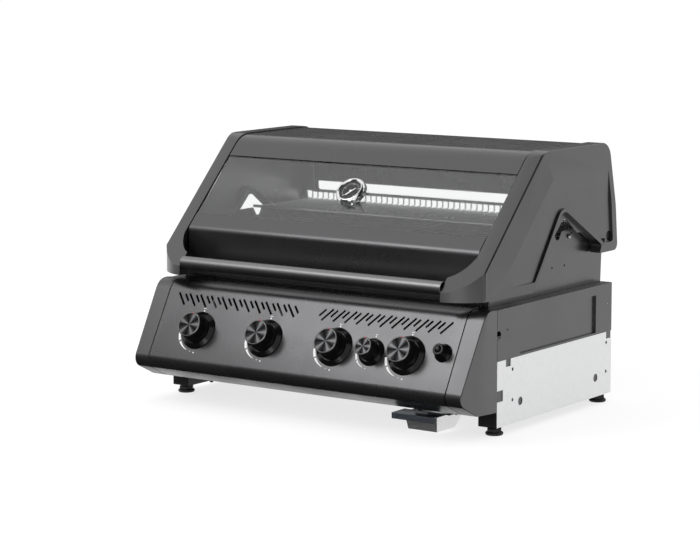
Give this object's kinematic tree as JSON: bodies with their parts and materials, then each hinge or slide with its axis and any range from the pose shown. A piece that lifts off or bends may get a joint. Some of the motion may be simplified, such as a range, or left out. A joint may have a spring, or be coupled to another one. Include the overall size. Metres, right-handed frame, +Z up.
{
  "type": "built-in gas grill",
  "caption": "Built-in gas grill with a glazed hinged lid, a sloping panel of knobs over a galvanised base, levelling feet and a pull-out drip tray.",
  "frame": {"origin": "middle of the ground plan, at the feet's soles", "axes": "+X along the grill to its right end, +Y from the knobs to the back, +Z up"},
  "size_m": [0.786, 0.5787, 0.5218],
  "materials": {
    "anthracite_coat": "anthracite powder coat, satin",
    "black_coat": "black coat",
    "brass": "machined",
    "chrome": "polished",
    "dark_steel": "bright steel that mirrors dark surroundings",
    "dial": "black dial face with a pale scale",
    "foot_black": "black",
    "galvanised": "zinc coated sheet",
    "glass": "lightly tinted, clear",
    "grate_iron": "enamelled cast iron",
    "knob_black": "gloss black",
    "steel": "satin steel"
  },
  "bodies": {
    "body": {"base_frame": "black_coat", "burner_1": "steel", "burner_2": "steel", "burner_3": "steel", "burner_4": "steel", "control_panel": "anthracite_coat", "firebox_front": "anthracite_coat", "firebox_rear": "anthracite_coat", "firebox_side_left": "anthracite_coat", "firebox_side_right": "anthracite_coat", "flame_tamer_1": "steel", "flame_tamer_2": "steel", "flame_tamer_3": "steel", "flame_tamer_4": "steel", "gas_manifold": "brass", "grate_left": "grate_iron", "grate_right": "grate_iron", "grease_pan": "steel", "hinge_pin_left": "steel", "hinge_pin_right": "steel", "igniter_housing": "knob_black", "knob_bezel_1": "knob_black", "knob_bezel_2": "knob_black", "knob_bezel_3": "knob_black", "knob_bezel_4": "knob_black", "knob_bezel_small": "knob_black", "panel_end_left": "anthracite_coat", "panel_end_right": "anthracite_coat", "rear_panel": "galvanised", "sear_burner": "steel", "side_panel_left": "anthracite_coat", "side_panel_right": "anthracite_coat", "side_plate_left": "galvanised", "side_plate_right": "galvanised", "warming_rack": "chrome"},
    "lid": {"lid_end_left": "anthracite_coat", "lid_end_right": "anthracite_coat", "lid_shell": "anthracite_coat", "lid_front": "black_coat", "lid_glass": "glass", "lid_handle": "steel", "thermometer_bezel": "chrome", "thermometer_body": "dial"},
    "drip_tray": {"drip_tray": "galvanised", "drip_tray_handle": "dark_steel"},
    "igniter_button": {"igniter_button": "knob_black"},
    "stem_1": {"knob_stem_1": "steel"},
    "knob_1": {"knob_1": "knob_black"},
    "stem_2": {"knob_stem_2": "steel"},
    "knob_2": {"knob_2": "knob_black"},
    "stem_3": {"knob_stem_3": "steel"},
    "knob_3": {"knob_3": "knob_black"},
    "stem_4": {"knob_stem_4": "steel"},
    "knob_4": {"knob_4": "knob_black"},
    "stem_small": {"knob_stem_small": "steel"},
    "knob_small": {"knob_small": "knob_black"},
    "foot_front_left": {"foot_front_left": "foot_black"},
    "foot_front_right": {"foot_front_right": "foot_black"},
    "foot_rear_left": {"foot_rear_left": "foot_black"},
    "foot_rear_right": {"foot_rear_right": "foot_black"}
  },
  "joints": [
    {"name": "knob_push_1", "type": "slide", "parent": "body", "child": "stem_1", "axis": [0, 0.8722, -0.4891], "range_m": [0, 0.004], "stiffness_N_per_m": 1200, "springref_m": -0.003},
    {"name": "knob_turn_1", "type": "hinge", "parent": "stem_1", "child": "knob_1", "pos_m": [-0.25, -0.26343, 0.16361], "axis": [0, -0.8722, 0.4891], "range_deg": [0, 180]},
    {"name": "knob_push_2", "type": "slide", "parent": "body", "child": "stem_2", "axis": [0, 0.8722, -0.4891], "range_m": [0, 0.004], "stiffness_N_per_m": 1200, "springref_m": -0.003},
    {"name": "knob_turn_2", "type": "hinge", "parent": "stem_2", "child": "knob_2", "pos_m": [-0.084, -0.26343, 0.16361], "axis": [0, -0.8722, 0.4891], "range_deg": [0, 180]},
    {"name": "knob_push_3", "type": "slide", "parent": "body", "child": "stem_3", "axis": [0, 0.8722, -0.4891], "range_m": [0, 0.004], "stiffness_N_per_m": 1200, "springref_m": -0.003},
    {"name": "knob_turn_3", "type": "hinge", "parent": "stem_3", "child": "knob_3", "pos_m": [0.082, -0.26343, 0.16361], "axis": [0, -0.8722, 0.4891], "range_deg": [0, 180]},
    {"name": "knob_push_4", "type": "slide", "parent": "body", "child": "stem_4", "axis": [0, 0.8722, -0.4891], "range_m": [0, 0.004], "stiffness_N_per_m": 1200, "springref_m": -0.003},
    {"name": "knob_turn_4", "type": "hinge", "parent": "stem_4", "child": "knob_4", "pos_m": [0.248, -0.26343, 0.16361], "axis": [0, -0.8722, 0.4891], "range_deg": [0, 180]},
    {"name": "knob_push_small", "type": "slide", "parent": "body", "child": "stem_small", "axis": [0, 0.8722, -0.4891], "range_m": [0, 0.004], "stiffness_N_per_m": 1200, "springref_m": -0.003},
    {"name": "knob_turn_small", "type": "hinge", "parent": "stem_small", "child": "knob_small", "pos_m": [0.16832, -0.26416, 0.16231], "axis": [0, -0.8722, 0.4891], "range_deg": [0, 180]},
    {"name": "igniter_push", "type": "slide", "parent": "body", "child": "igniter_button", "axis": [0, 0.8722, -0.4891], "range_m": [0, 0.004], "stiffness_N_per_m": 600, "springref_m": -0.003},
    {"name": "lid_hinge", "type": "hinge", "parent": "body", "child": "lid", "pos_m": [0, 0.26237, 0.3358], "axis": [-1, 0, 0], "range_deg": [0, 90]},
    {"name": "drip_tray_slide", "type": "slide", "parent": "body", "child": "drip_tray", "axis": [0, -1, 0], "range_m": [0, 0.08]},
    {"name": "foot_front_left_level", "type": "slide", "parent": "body", "child": "foot_front_left", "axis": [0, 0, -1], "range_m": [0, 0.012]},
    {"name": "foot_front_right_level", "type": "slide", "parent": "body", "child": "foot_front_right", "axis": [0, 0, -1], "range_m": [0, 0.012]},
    {"name": "foot_rear_left_level", "type": "slide", "parent": "body", "child": "foot_rear_left", "axis": [0, 0, -1], "range_m": [0, 0.012]},
    {"name": "foot_rear_right_level", "type": "slide", "parent": "body", "child": "foot_rear_right", "axis": [0, 0, -1], "range_m": [0, 0.012]}
  ]
}
